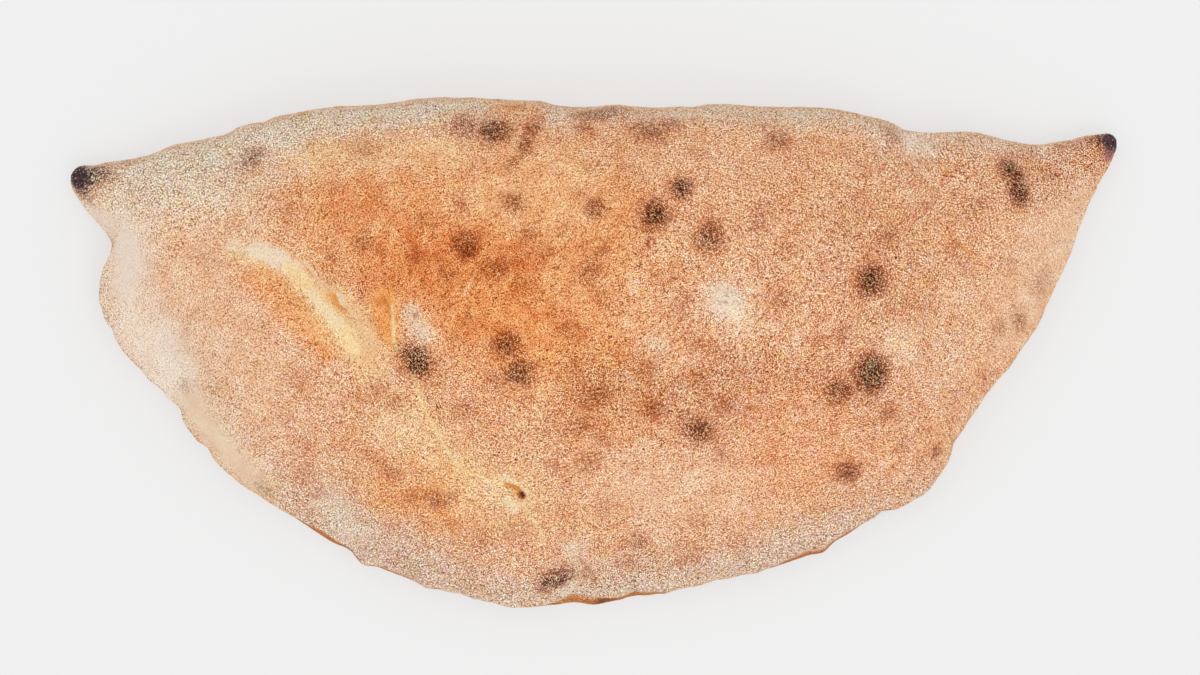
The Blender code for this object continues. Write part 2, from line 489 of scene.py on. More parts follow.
tones = {                           # colour as a screen shows it, how strongly speckled, how mottled
    "tan": ((240, 169, 122), 1.3, 1.0),
    "amber": ((245, 189, 138), 0.5, 1.3),
    "orange": ((239, 152, 89), 0.8, 1.8),
    "deepOrange": ((228, 136, 77), 0.95, 1.8),
    "brown": ((215, 134, 85), 1.9, 1.5),
    "yellow": ((245, 193, 156), 0.9, 0.9),
    "paleTan": ((231, 203, 174), 0.05, 0.6),
    "pinkTan": ((243, 166, 119), 1.2, 1.1),
    "floured": ((234, 189, 155), 2.1, 0.8),
    # flour on the steep walls, made lighter as painted light to make up for the shade those faces get
    "wallFlourAndPaintedLight": ((250, 192, 147), 1.9, 0.8),
    "wallCrust": ((232, 164, 108), 1.2, 1.2),
    "greyFlour": ((249, 214, 176), 1.9, 0.7),
    "cream": ((245, 216, 162), 0.22, 0.3),
    "paleCream": ((238, 220, 184), 0.12, 0.15),
    "dough": ((236, 223, 206), 0.15, 0.15),
    "freshDough": ((231, 213, 195), 0.08, 0.1),
    "lobeSkin": ((236, 210, 184), 0.9, 0.6),
    "greyDough": ((228, 207, 180), 0.45, 0.3),
    "creamEdge": ((238, 220, 194), 0.14, 0.1),
    "creaseSkin": ((236, 193, 145), 0.3, 0.4),
    "orangeSkin": ((233, 163, 92), 0.3, 0.5),
    "burntOrange": ((208, 122, 58), 0.3, 0.3),
    "lipTan": ((210, 140, 74), 0.4, 0.6),
    "lipBrown": ((178, 107, 52), 0.5, 1.0),
    "lipDark": ((126, 72, 38), 0.5, 1.0),
    "tornGold": ((224, 150, 72), 0.25, 0.3),
    "tornBrown": ((150, 80, 38), 0.4, 0.3),
    # painted shade: the darkening in the rim wrinkle's crease and in the pits' hollows
    "paintedPitShade": ((176, 120, 92), 0.4, 0.3),
    "scorchedPink": ((172, 128, 132), 0.3, 0.3),
}
patches = [                         # tone, strength, half width in pixels, the line it follows
    ("paleTan", 0.47, 105, [(190, 290), (225, 400)]),
    ("orange", 0.62, 85, [(360, 205), (470, 235), (600, 235)]),
    ("orange", 0.9, 75, [(470, 300), (620, 370)]),
    ("deepOrange", 0.91, 45, [(390, 262), (540, 275)]),
    ("amber", 0.57, 45, [(500, 190), (570, 195)]),
    ("amber", 0.27, 45, [(560, 250), (570, 290)]),
    ("amber", 0.98, 26, [(290, 155), (450, 145)]),
    ("brown", 0.68, 50, [(590, 385), (740, 400)]),
    ("brown", 0.56, 45, [(800, 390), (880, 400)]),
    ("brown", 0.34, 50, [(860, 240), (900, 330)]),
    ("yellow", 0.2, 50, [(650, 325), (670, 350)]),
    ("yellow", 0.08, 40, [(370, 400), (330, 400)]),
    ("paleTan", 0.38, 50, [(640, 490), (740, 480)]),
    ("pinkTan", 1.0, 70, [(780, 440), (900, 480)]),
    ("orange", 0.44, 45, [(400, 490), (450, 500)]),
    ("yellow", 0.24, 55, [(920, 380), (960, 330)]),
    ("yellow", 1.0, 20, [(893, 345), (905, 350)]),
    ("paleTan", 0.45, 45, [(1010, 290), (1050, 215)]),
    ("paleTan", 0.12, 50, [(690, 165), (720, 180)]),
    ("floured", 0.27, 50, [(225, 180), (300, 140), (450, 115)]),
    ("floured", 0.14, 45, [(900, 140), (1000, 155), (1100, 145)]),
    ("brown", 0.57, 40, [(1030, 175), (1090, 160)]),
    ("greyFlour", 0.71, 52, [(90, 180), (160, 180), (220, 165)]),
    ("paleTan", 0.27, 45, [(200, 205), (240, 205)]),
    ("greyFlour", 0.91, 24, [(100, 170), (230, 148), (330, 112), (460, 98), (560, 102)]),
    ("greyFlour", 0.62, 20, [(560, 104), (700, 106), (860, 112), (905, 130)]),
    ("greyFlour", 0.27, 16, [(940, 140), (1040, 145), (1090, 140)]),
    ("deepOrange", 0.74, 18, [(502, 104), (535, 110)]),
    ("floured", 0.52, 45, [(170, 400), (250, 490), (330, 540)]),
    ("paleTan", 0.99, 22, [(185, 400), (225, 450), (262, 490)]),
    ("floured", 0.71, 42, [(330, 540), (450, 590), (520, 605), (700, 585), (830, 550), (930, 500)]),
    ("tan", 0.56, 22, [(900, 495), (930, 480)]),
    ("paleTan", 0.54, 26, [(1010, 345), (1060, 270), (1090, 200)]),
    ("freshDough", 0.5, 40, [(104, 222), (120, 250), (104, 290), (118, 345), (150, 385)]),
    ("dough", 0.58, 32, [(128, 225), (135, 280), (140, 330), (170, 385)]),
    ("dough", 0.71, 25, [(165, 335), (180, 365)]),
    ("dough", 0.48, 22, [(330, 500), (345, 525), (365, 552)]),
    ("dough", 0.26, 18, [(578, 550), (574, 586)]),
    ("dough", 0.5, 16, [(905, 132), (925, 148)]),
    ("cream", 0.35, 34, [(395, 420), (470, 470), (520, 500)]),
    ("orange", 0.16, 10, [(262, 232), (300, 256), (325, 284)]),
    ("orange", 0.69, 20, [(255, 278), (330, 350)]),
    ("cream", 0.41, 18, [(240, 248), (290, 270), (320, 305), (345, 340), (372, 366)]),
    ("paleCream", 0.15, 8, [(311, 297), (321, 307), (339, 326), (358, 351)]),
    ("orangeSkin", 1.0, 18, [(383, 303), (386, 335)]),
    ("yellow", 0.28, 28, [(418, 325), (424, 340)]),
    ("yellow", 0.63, 30, [(722, 302), (730, 305)]),
    ("dough", 0.64, 16, [(720, 299), (731, 304)]),
    ("yellow", 0.35, 24, [(655, 345), (660, 350)]),
    ("orangeSkin", 0.27, 4, [(1110, 159), (1100, 181)]),
]
bands = [                           # the same with firmer edges, laid over the patches
    ("freshDough", 0.85, 13, [(92, 212), (106, 228), (124, 246), (130, 268), (122, 290)]),
    ("lobeSkin", 0.7, 11, [(100, 276), (101, 300), (112, 325)]),
    ("creaseSkin", 0.9, 16, [(326, 293), (340, 304), (352, 318), (361, 334), (364, 350)]),
    ("creaseSkin", 0.4, 18, [(366, 346), (376, 368)]),
    ("creaseSkin", 0.45, 9, [(302, 266), (314, 279), (326, 291)]),
    ("creamEdge", 0.55, 6, [(233, 245), (243, 247), (255, 249), (266, 252)]),
    ("creamEdge", 0.9, 10.5, [(256, 249), (268, 254), (281, 260), (292, 267)]),
    ("cream", 0.85, 7.5, [(289, 268), (303, 281), (314, 297), (325, 310), (336, 322), (345, 335),
                          (353, 347)]),
    ("creamEdge", 0.45, 5, [(310, 292), (318, 303), (328, 314), (338, 325)]),
    ("creamEdge", 0.5, 2.5, [(305, 264), (314, 273), (324, 283), (331, 290)]),
    ("orangeSkin", 0.4, 5, [(263, 272), (275, 274), (284, 286), (294, 297)]),
    ("orangeSkin", 0.35, 6, [(301, 304), (312, 318), (322, 332)]),
    ("orange", 0.6, 7, [(381, 304), (380, 318), (383, 334)]),
    ("creaseSkin", 0.5, 5, [(511, 121), (509, 136), (511, 150), (503, 163)]),
    ("orangeSkin", 0.45, 6, [(504, 107), (518, 108)]),
    ("greyDough", 0.65, 8, [(411, 312), (416, 321), (421, 333)]),
    ("greyDough", 0.35, 7, [(424, 340), (427, 349)]),
    ("greyDough", 0.75, 15, [(720, 298), (729, 303)]),
    ("paleCream", 0.4, 11, [(735, 314), (744, 321)]),
    ("greyDough", 0.5, 9, [(655, 343), (661, 347)]),
    ("greyDough", 0.6, 6, [(571, 548), (577, 563), (574, 580), (566, 591)]),
    # a painted shadow along the rim wrinkle's crease
    ("paintedPitShade", 0.3, 2.5, [(581, 560), (588, 569), (593, 579)]),
    ("paleCream", 0.7, 5, [(505, 480), (513, 483)]),
    ("paleCream", 0.75, 5, [(507, 502), (516, 509)]),
    ("paleCream", 0.5, 4, [(524, 489), (528, 497)]),
]
exposure = 1.03                     # how bright a white that faces up comes out


def albedo(shown):
    value = np.array(shown) / 255
    linear = np.where(value <= 0.04045, value / 12.92, ((value + 0.055) / 1.055) ** 2.4)
    return linear / exposure


# lays a tone over the crust's colour, speckle and mottling
def layTone(amount, name):
    target, speckle, mottling = tones[name]
    tone[:] += amount[:, None] * (albedo(target) - tone)
    grain[:] += amount * (speckle - grain)
    mottle[:] += amount * (mottling - mottle)


# how strongly a stroke along a line reaches each point
def stroke(line, width, stray, fade):
    source = pixels + stray[0] * wobble + stray[1] * finerWobble
    path = np.array([(x, y, 0.0) for x, y in line])
    far = alongLine(source, path)[0] / width
    return np.exp(-fade[0] * far ** fade[1])


def paintTones():
    for name, strength, width, line in patches:
        stray = wander["broad" if width > wander["broadWidth"] else "small"]
        layTone(strength * stroke(line, width, stray, wander["patchFade"]), name)
    for name, strength, width, line in bands:
        layTone(strength * stroke(line, width, wander["band"], wander["bandFade"]), name)


tone = np.zeros((len(place), 3))
grain = np.zeros(len(place))
mottle = np.zeros(len(place))
layTone(np.ones(len(place)), "tan")
paintTones()
print("tones painted")


# scorched spots: pixel, radius in millimetres, strength, and how long and which way if not round

spots = [
    (494, 131, 3.7, 1.15, 1.15, 20), (681, 188, 2.8, 1.15), (655, 214, 3.7, 1.2),
    (709, 237, 3.8, 0.82, 1.1, 60), (418, 361, 3.8, 1.2, 1.25, -45), (506, 345, 3.6, 0.88),
    (520, 373, 3.5, 0.85, 1.1, 0), (466, 245, 3.4, 0.8, 1.1, 90), (871, 281, 3.8, 1.15),
    (871, 373, 4.2, 1.35, 1.2, 90), (838, 391, 3.6, 0.8), (848, 472, 3.4, 0.85),
    (1010, 172, 3.1, 1.05, 1.2, -60), (1018, 191, 3.1, 1.15, 1.3, -70), (554, 580, 3.4, 1.0, 1.4, 25),
    (698, 430, 3.6, 0.85, 1.2, -20), (465, 126, 3.8, 0.58, 1.1, 90), (534, 128, 2.4, 0.66, 1.4, 70),
    (526, 145, 2.5, 0.64, 1.5, 75), (514, 162, 1.8, 0.42, 1.6, 50), (541, 119, 1.6, 0.35, 1.2, 60),
    (650, 130, 4.2, 0.6, 1.2, 0), (668, 125, 3.4, 0.48, 1.2, 30), (603, 114, 3.8, 0.62, 2.4, 12),
    (584, 126, 2.8, 0.5, 1.2, 60), (777, 139, 3.6, 0.52, 1.1, 90), (763, 125, 2.6, 0.28),
    (253, 158, 3.4, 0.68, 1.3, 50), (243, 166, 3.0, 0.4), (232, 152, 2.6, 0.2),
    (891, 134, 3.2, 0.46, 1.2, 90), (513, 203, 2.9, 0.52), (594, 208, 2.9, 0.58),
    (527, 235, 2.7, 0.36, 1.2, 60), (497, 268, 3.2, 0.42, 1.4, 15), (482, 273, 2.4, 0.25),
    (591, 272, 3.0, 0.48, 1.2, 80), (602, 252, 2.0, 0.38, 1.1, 45), (603, 292, 2.5, 0.26, 1.2, -40),
    (520, 284, 2.8, 0.28), (363, 243, 2.9, 0.36), (381, 251, 2.0, 0.24), (416, 256, 2.9, 0.36, 1.1, 90),
    (439, 259, 1.8, 0.26), (446, 275, 2.7, 0.32), (422, 219, 2.0, 0.34), (431, 226, 2.2, 0.2),
    (460, 203, 2.2, 0.36, 1.2, 90), (337, 187, 1.7, 0.3), (378, 197, 2.5, 0.2),
    (365, 148, 3.6, 0.28, 1.2, 0), (378, 120, 1.6, 0.2), (331, 256, 2.6, 0.18), (331, 277, 2.4, 0.2),
    (288, 214, 2.6, 0.18, 1.3, -60), (565, 233, 1.9, 0.25), (544, 252, 2.8, 0.22),
    (577, 192, 2.0, 0.24, 1.2, 45), (590, 168, 2.4, 0.22), (589, 131, 1.9, 0.32), (618, 143, 1.4, 0.22),
    (630, 172, 2.0, 0.24), (641, 178, 1.6, 0.2), (648, 228, 2.3, 0.5), (649, 241, 2.0, 0.3),
    (698, 153, 2.6, 0.18), (742, 170, 2.0, 0.2), (760, 217, 3.6, 0.32, 1.2, 60), (785, 247, 2.4, 0.22),
    (757, 268, 2.4, 0.16), (404, 346, 2.2, 0.34, 1.2, 60), (403, 369, 2.5, 0.36), (516, 354, 2.6, 0.45),
    (507, 377, 2.6, 0.36), (494, 382, 2.4, 0.3), (571, 330, 3.2, 0.28, 1.2, 0), (447, 306, 2.2, 0.22),
    (468, 319, 2.5, 0.24, 1.2, 45), (452, 338, 2.4, 0.2), (466, 407, 2.6, 0.4, 1.1, 20),
    (397, 405, 2.8, 0.28), (375, 389, 2.8, 0.2), (598, 394, 3.2, 0.5, 1.2, 20), (584, 402, 2.7, 0.36),
    (580, 426, 2.9, 0.4, 1.2, 30), (563, 432, 2.6, 0.26), (601, 440, 3.2, 0.26), (653, 409, 2.9, 0.5),
    (648, 369, 2.9, 0.3, 1.2, 60), (685, 303, 2.6, 0.28, 1.2, 60), (681, 316, 2.0, 0.22),
    (702, 344, 2.8, 0.28, 1.3, -20), (714, 350, 2.4, 0.22), (700, 379, 2.8, 0.28, 1.2, 50),
    (605, 371, 1.8, 0.24), (575, 373, 2.2, 0.2), (527, 398, 2.2, 0.2), (727, 405, 2.9, 0.42, 1.1, 60),
    (745, 411, 2.0, 0.28), (742, 373, 2.8, 0.2, 1.3, -20), (762, 388, 2.4, 0.2),
    (796, 376, 2.0, 0.22, 1.2, 0), (722, 455, 2.3, 0.32, 1.2, 70), (770, 460, 2.5, 0.18),
    (782, 300, 3.4, 0.3, 1.3, 20), (819, 340, 1.9, 0.3), (843, 334, 2.9, 0.32, 1.1, 60),
    (888, 411, 2.4, 0.46, 1.2, 50), (875, 422, 2.0, 0.26), (903, 446, 2.3, 0.38, 1.4, 60),
    (936, 452, 1.8, 0.62, 1.2, 80), (920, 460, 2.6, 0.2), (865, 170, 2.6, 0.2),
    (890, 235, 2.9, 0.42, 1.2, 30), (926, 206, 2.0, 0.24, 1.2, 60), (920, 180, 2.4, 0.16),
    (974, 207, 3.2, 0.36, 1.1, 20), (955, 251, 2.4, 0.28, 1.6, 80), (964, 266, 2.8, 0.24, 1.2, -30),
    (1010, 262, 2.3, 0.2), (1041, 283, 3.0, 0.28, 1.2, 60), (833, 236, 2.8, 0.18), (822, 270, 2.4, 0.2),
    (925, 308, 2.3, 0.22), (886, 309, 2.4, 0.2, 1.2, 0), (1019, 321, 2.4, 0.4, 1.8, -75),
    (1000, 326, 2.2, 0.36), (985, 378, 2.2, 0.26, 1.6, 75), (956, 396, 2.4, 0.2), (867, 445, 2.8, 0.16),
    (185, 386, 1.9, 0.2), (268, 491, 3.0, 0.26, 1.6, -35), (305, 474, 3.0, 0.26, 1.2, 0),
    (281, 473, 2.8, 0.2), (318, 491, 2.8, 0.24), (302, 378, 3.6, 0.18, 1.2, 0), (302, 446, 3.4, 0.18),
    (290, 420, 2.6, 0.18), (308, 508, 2.2, 0.22, 1.6, -45), (392, 473, 2.6, 0.36, 1.2, -40),
    (412, 497, 2.2, 0.32), (435, 500, 2.8, 0.45, 1.2, 10), (450, 497, 2.4, 0.28), (392, 525, 2.8, 0.2),
    (480, 541, 2.6, 0.22), (448, 522, 1.8, 0.2), (367, 551, 3.2, 0.26, 1.3, 0),
    (515, 530, 3.4, 0.22, 1.2, 0), (583, 575, 2.0, 0.34), (590, 462, 3.0, 0.28, 1.2, 60),
    (553, 467, 2.4, 0.22), (638, 542, 2.8, 0.42, 1.3, 20), (622, 546, 2.2, 0.24),
    (628, 562, 2.8, 0.26, 1.2, 0), (690, 555, 3.8, 0.24, 1.3, 15), (740, 545, 3.4, 0.18, 1.3, 0),
    (602, 508, 2.8, 0.16), (697, 520, 2.8, 0.16), (124, 164, 2.0, 0.4, 1.4, 15),
    (137, 161, 1.7, 0.32, 1.4, 15), (97, 175, 3.4, 0.95, 1.3, 0), (84, 191, 2.2, 0.6, 1.6, -50),
    (1094, 141, 2.4, 0.5, 1.6, 10), (1074, 145, 2.6, 0.28, 2.0, 10), (515, 108, 1.8, 0.3, 1.4, 0),
]
tips = [                            # burnt ends of the horns: pixel, radius, reach of the brown fade
    (79, 177, 3.7, 7.5),
    (1111.5, 141, 3.1, 6.5),
]
scorching = {
    "reach": 1.4,                   # a scorch ends this much beyond its spot's radius
    "fade": (1.35, 2.5),
    "farthest": 3,
    "ragged": 0.28,
    "stir": (0.5, 0.6),             # shares of the short waves and of still shorter ones
    "stirSize": 2.6,                # millimetres
    "slimness": 0.3,                # how much narrower a longer spot is
    "blisterReach": 1.3,
    "tipStretch": (1, 1, 0.4),      # the burnt ends reach further down than sideways
    "tipRagged": 0.7,               # millimetres
    "tipBorder": (0.8, 1.25),
}


def hump(far, halfWidth, power=2):
    return np.exp(-(far / halfWidth) ** power)


def dome(far, radius):
    return np.clip(1 - (far / radius) ** 2, 0, 1) ** 2


def scorchSpots():
    dark = np.zeros(len(place))
    blister = np.zeros(len(place))
    rate, power = scorching["fade"]
    short, shorter = scorching["stir"]
    stir = short * finerWobble[:, 0] + shorter * ripple(place, scorching["stirSize"], 5)
    for x, y, radius, strength, *shape in spots:
        longer, angle = shape or (1.0, 0)
        off = place - onCrust(x, y)
        turn = math.radians(angle)
        along = (off[:, 0] * math.cos(turn) + off[:, 1] * math.sin(turn)) / longer
        across = off[:, 1] * math.cos(turn) - off[:, 0] * math.sin(turn)
        across = across * longer ** scorching["slimness"]
        far = np.sqrt(along ** 2 + across ** 2 + off[:, 2] ** 2) / (radius * scorching["reach"])
        close = far < scorching["farthest"]
        border = np.maximum(far[close] + scorching["ragged"] * stir[close], 0)
        dark[close] = np.maximum(dark[close], strength * np.exp(-rate * border ** power))
        blister[close] += strength * dome(far[close], scorching["blisterReach"])
    return dark, blister


def tipDistance(x, y):
    return np.linalg.norm((place - onCrust(x, y)) * scorching["tipStretch"], axis=1)


def burnTips():
    burnt = np.zeros(len(place))
    fade = np.zeros(len(place))
    start, end = scorching["tipBorder"]
    for x, y, radius, reach in tips:
        far = tipDistance(x, y) + scorching["tipRagged"] * finerWobble[:, 0]
        burnt = np.maximum(burnt, 1 - smoothStep(far, radius * start, radius * end))
        fade = np.maximum(fade, 1 - smoothStep(far, radius, reach))
    return burnt, fade


char, blister = scorchSpots()
burnt, fade = burnTips()
print("spots scorched")


# fine relief, and the tones that go with it

pressed = {                         # millimetres
    "waves": [(13, 0.30, 11), (5.5, 0.23, 12), (2.3, 0.12, 13)],    # length, height, seed
    "charWave": (1.6, 0.10, 14),
    "blister": 0.45,
    "flatFoot": (0.0, 3.0),         # the relief fades out down to the floor
    "boxGap": 0.01,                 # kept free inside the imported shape's box
}
ridges = [                          # line, rise, half width, share of the line over which it starts
    ("tear", -0.7, 1.3, 0),
    ("thinLine", 0.22, 0.5, 0),
    ("thinLine", -0.1, 1.4, 0),
    ("tail", 0.2, 0.5, 0),
    ("rimWrinkle", -0.8, 1.2, 0.3),
]
creaseStep = {
    "rise": 0.55,
    "across": (-0.5, 0.7),          # the step goes up between these distances from the line
    "fade": 3.2,
    "ends": 0.2,                    # share of the line
}
smallTear = {
    "halfWidth": (0.45, 0.5),       # at its start, and what is added along it
    "depth": 1.0,
    "lip": (0.35, 1.9, 0.9),        # height, distance from the line, half width
    "goldReach": 1.15,
    "brownFrom": (0.7, 0.95),       # shares of its length
    "charFrom": (0.75, 1.0),
    "char": 0.5,
}
hollows = [                         # pit, height of the swelling round it, its radius, depth, half width
    ("bubblePit", 0.45, 5.0, 0.9, 0.75),
    ("smallPit", 0.4, 6.0, 0.6, 0.5),
]
# how dark the painted shade in a pit's hollow is
paintedHollowShade = 0.8
lipNotches = [                      # where the rim lets the under layer show: pixel x, half width, depth
    (581, 18, 2.2),
    (325, 20, 0.5),
    (405, 16, 0.4),
    (650, 18, 0.5),
    (810, 20, 0.5),
]
shownLips = [(579, 20), (325, 24), (395, 14)]   # where it shows widest: pixel x, half width
edgeBumps = [                       # swells and dents of the outline: pixel, half width in pixels, rise
    (365, 561, 9, 1.5), (346, 551, 7, -1.2), (427, 585, 10, 0.9), (459, 594, 8, -0.5),
    (515, 605, 12, 0.7), (573, 604, 9, -0.9), (593, 603, 7, 0.4), (633, 598, 8, -0.9),
    (665, 591, 9, 0.7), (715, 582, 8, -0.5), (755, 570, 9, 0.8), (775, 565, 8, 0.4),
    (821, 548, 10, 1.4), (884, 515, 8, -1.3), (924, 491, 9, 0.7), (955, 445, 11, -0.9),
    (1008, 367, 9, 0.5), (176, 411, 9, -1.3), (205, 450, 8, -1.0), (150, 378, 10, 0.6),
    (110, 331, 6, -0.8), (541, 103, 16, 0.8),
    (615, 105, 12, 0.5), (694, 104, 10, -0.6), (225, 131, 10, -0.8), (262, 119, 9, -0.7),
    (155, 151, 10, -0.6), (93, 163, 9, -0.8), (1070, 137, 9, -0.8), (905, 128, 8, -0.6),
]
lineTones = [                       # line, tone, half width in millimetres, strength
    ("creaseEdge", "orangeSkin", 0.7, 0.25),
    ("tear", "orangeSkin", 1.5, 1.0),
    ("orangeLine", "burntOrange", 0.8, 0.75),
    ("thinLine", "cream", 0.5, 0.95),
    ("tail", "cream", 0.5, 0.7),
    # the rim wrinkle's crease: a painted shadow line
    ("rimWrinkle", "paintedPitShade", 0.5, 0.4),
    ("faintLine", "cream", 0.4, 0.6),
    ("rightLine", "cream", 0.45, 0.5),
    ("scratch", "orangeSkin", 0.5, 1.0),
]
for name, toneName, width, strength in lineTones:
    layTone(strength * hump(alongLine(place, laid[name])[0], width), toneName)

relief = np.zeros(len(place))
for length, height, seed in pressed["waves"]:
    relief += height * ripple(place, length, seed)
length, height, seed = pressed["charWave"]
relief += height * char * ripple(place, length, seed)
relief += pressed["blister"] * blister
for name, rise, width, start in ridges:
    far, share, side = alongLine(place, laid[name])
    relief += rise * hump(far, width) * (smoothStep(share, 0.0, start) if start else 1.0)

far, share, side = alongLine(place, laid["creaseEdge"])
ends = smoothStep(share, 0.0, creaseStep["ends"]) * smoothStep(1 - share, 0.0, creaseStep["ends"])
signed = far * side
fading = hump(np.maximum(signed, 0), creaseStep["fade"])
relief += ends * creaseStep["rise"] * smoothStep(signed, *creaseStep["across"]) * fading

far, share, side = alongLine(place, laid["smallTear"])
tearWidth = smallTear["halfWidth"][0] + smallTear["halfWidth"][1] * share
rise, out, width = smallTear["lip"]
relief += rise * hump(far - out, width) - smallTear["depth"] * hump(far, tearWidth, 4)
torn = hump(far, tearWidth * smallTear["goldReach"], 4)
tornEnd = torn * smoothStep(share, *smallTear["brownFrom"])
char = np.maximum(char, smallTear["char"] * torn * smoothStep(share, *smallTear["charFrom"]))

# painted shade in the pits' hollows
paintedPitShade = np.zeros(len(place))
for name, rise, radius, depth, width in hollows:
    far = np.linalg.norm(place - pitPlaces[name], axis=1)
    relief += rise * dome(far, radius) - depth * hump(far, width)
    paintedPitShade = np.maximum(paintedPitShade, paintedHollowShade * hump(far, width))

# seen from the side: a floured wall, painted lighter where its steep faces get less light, over a browned
# foot; from below: a toasted underside

sides = {                           # heights in millimetres; facing: 1 is up, 0 sideways, -1 down
    "underFacing": (0.45, 0.9),
    "underHeight": (1.0, 4.0),
    "footHeight": (4.6, 6.0),
    "footStray": (0.8, 0.6),
    "hornPlace": (124, 140),        # millimetres from the middle, left and right
    "hornFacing": (-0.2, 0.3),
    "wallFacing": (0.1, 0.7),
    "steepFacing": (-0.05, 0.42),
    "outwardFacing": (0.25, 0.9),
    "brinkFacing": (0.45, 0.9),
    "rimFrom": (4.0, 6.0),
    "rimTo": (9.0, 13.0),
    "rimFacing": (0.3, 0.8),
    "wallFlourAndPaintedLight": 0.8,
    "wallCrust": (0.72, 0.35, 0.25, 0.95),      # on average, by the long and short waves, at most
    "lipBrown": 0.9,
    "lipTan": (0.9, 0.6),           # the second is how much less of it faces outwards
    "lipDark": 0.8,
    "darkHeight": (0.8, 2.4),
    "burntLip": (602, 10, 0.85),    # pixel x, half width, strength
    "torn": 0.9,
    "pinkTip": (1109, 155, 2.0, 0.9),           # pixel, half width, strength
}
upward = facing[:, 2]
level = place[:, 2]
front = pixelY > view["origin"][1]
under = smoothStep(-upward, *sides["underFacing"]) * (1 - smoothStep(level, *sides["underHeight"]))
longStray, shortStray = sides["footStray"]
strayed = level + longStray * finerWobble[:, 0] + shortStray * finerWobble[:, 1]
horn = smoothStep(abs(place[:, 0]), *sides["hornPlace"]) * smoothStep(upward, *sides["hornFacing"])
foot = (1 - smoothStep(strayed, *sides["footHeight"])) * (1 - under) * (1 - horn)
wall = (1 - smoothStep(upward, *sides["wallFacing"])) * (1 - foot) * (1 - under)
rimBand = smoothStep(level, *sides["rimFrom"]) * (1 - smoothStep(level, *sides["rimTo"]))
rimBand *= 1 - smoothStep(upward, *sides["rimFacing"])
for middle, halfWidth, depth in lipNotches:
    relief -= depth * rimBand * front * hump(pixelX - middle, halfWidth)
brink = 1 - smoothStep(abs(upward), *sides["brinkFacing"])
for x, y, halfWidth, rise in edgeBumps:
    relief += rise * brink * np.exp(-((pixelX - x) ** 2 + (pixelY - y) ** 2) / halfWidth ** 2)

# the floured wall, painted lighter to stand in for the light its steep faces miss
layTone(sides["wallFlourAndPaintedLight"] * wall, "wallFlourAndPaintedLight")
steep = 1 - smoothStep(upward, *sides["steepFacing"])
average, byLong, byShort, most = sides["wallCrust"]
patchy = np.clip(average + byLong * wobble[:, 0] + byShort * finerWobble[:, 1], 0, most)
layTone(steep * (1 - under) * patchy, "wallCrust")
outward = 1 - smoothStep(upward, *sides["outwardFacing"])
lip = foot * front
layTone(sides["lipBrown"] * foot, "lipBrown")
strength, lessOut = sides["lipTan"]
for middle, halfWidth in shownLips:
    layTone(strength * lip * (1 - lessOut * outward) * hump(pixelX - middle, halfWidth, 4), "lipTan")
layTone(sides["lipDark"] * foot * outward * (1 - smoothStep(strayed, *sides["darkHeight"])), "lipDark")
middle, halfWidth, strength = sides["burntLip"]
layTone(strength * lip * hump(pixelX - middle, halfWidth), "lipDark")
layTone(sides["torn"] * torn, "tornGold")
layTone(tornEnd, "tornBrown")
# lays the painted shade into the pits
layTone(paintedPitShade, "paintedPitShade")
x, y, halfWidth, strength = sides["pinkTip"]
layTone(strength * hump(tipDistance(x, y), halfWidth, 4), "scorchedPink")

relief *= smoothStep(level, *pressed["flatFoot"]) * (1 - under)
shaped = place + facing * relief[:, None]
low = np.array(cadBox[0]) / mm + pressed["boxGap"]
high = np.array(cadBox[1]) / mm - pressed["boxGap"]
shaped = np.clip(shaped, [low[0], low[1], 0], high)
shell.data.vertices.foreach_set("co", (shaped * mm).ravel())
shell.data.update()


def storeValues(mesh, name, values):
    mesh.attributes.new(name, "FLOAT", "POINT").data.foreach_set("value", values)


def storeColours(mesh, name, values):
    full = np.concatenate((values, np.ones((len(values), 1))), axis=1)
    mesh.attributes.new(name, "FLOAT_COLOR", "POINT").data.foreach_set("color", full.ravel())


flouredRange = (0.25, 0.45)         # blue over red, from bare crust to floured crust
floured = smoothStep(tone[:, 2] / tone[:, 0], *flouredRange)
storeColours(shell.data, "tone", tone)
stored = {"grain": grain, "floured": floured, "mottle": mottle, "char": char, "burnt": burnt,
          "fade": fade, "under": under}
for name, values in stored.items():
    storeValues(shell.data, name, values)
print("relief pressed")


# the baked crust's finish

finish = {                          # sizes in millimetres
    "grainSize": 0.31,
    "clumpSize": 0.36,
    "clumpDisorder": 0.8,
    "contrast": (2.0, 5.0),         # of the grains, and of the painted light and shade of the clumps: lighter middles, darker gaps
    "speckle": 1.95,                # spread of the speckle, in steps of the tint below
    "tint": (1.19, 1.315, 1.42),    # one step lighter: blue changes most, red least
    "flouredTint": (1.20, 1.25, 1.32),
    "pepper": (1.4, 1.2, 2.4),      # dark grains stand out more, and those beyond the second number most
    "mottleTint": (1.10, 1.27, 1.42),
    "blotches": (                   # the noise, and how many steps of that tint it makes
        ({"size": 13, "warp": 0.5}, 2.2),
        ({"size": 5, "detail": 1.0, "shift": 0.3}, 2.2),
    ),
    "hueJitter": (0.02, 0.03, 0.08),            # from grain to grain
    "huePatches": (                 # pinker and yellower patches: size, how strong
        (1.4, (0.04, 0.08, 0.15)),
        (4.0, (0.08, 0.15, 0.3)),
    ),
    "hueSpread": (0.8, 0.15),       # more of them where the speckle is strong
    "lightest": 0.98,
    "grainDepth": 0.14,
    "reliefParts": (0.6, 0.5, 0.3, 1.2),        # gaps, grit, grains and waves
    "grit": {"size": 0.42, "detail": 1.0},
    "waves": {"size": 2.4},
    "reliefSpread": (0.9, 0.1),     # deeper too where the speckle is strong
    "roughness": 0.78,
    "charGloss": 0.2,
    "tipGloss": 0.35,
    "shine": 0.03,                  # dry and floured: hardly any
}
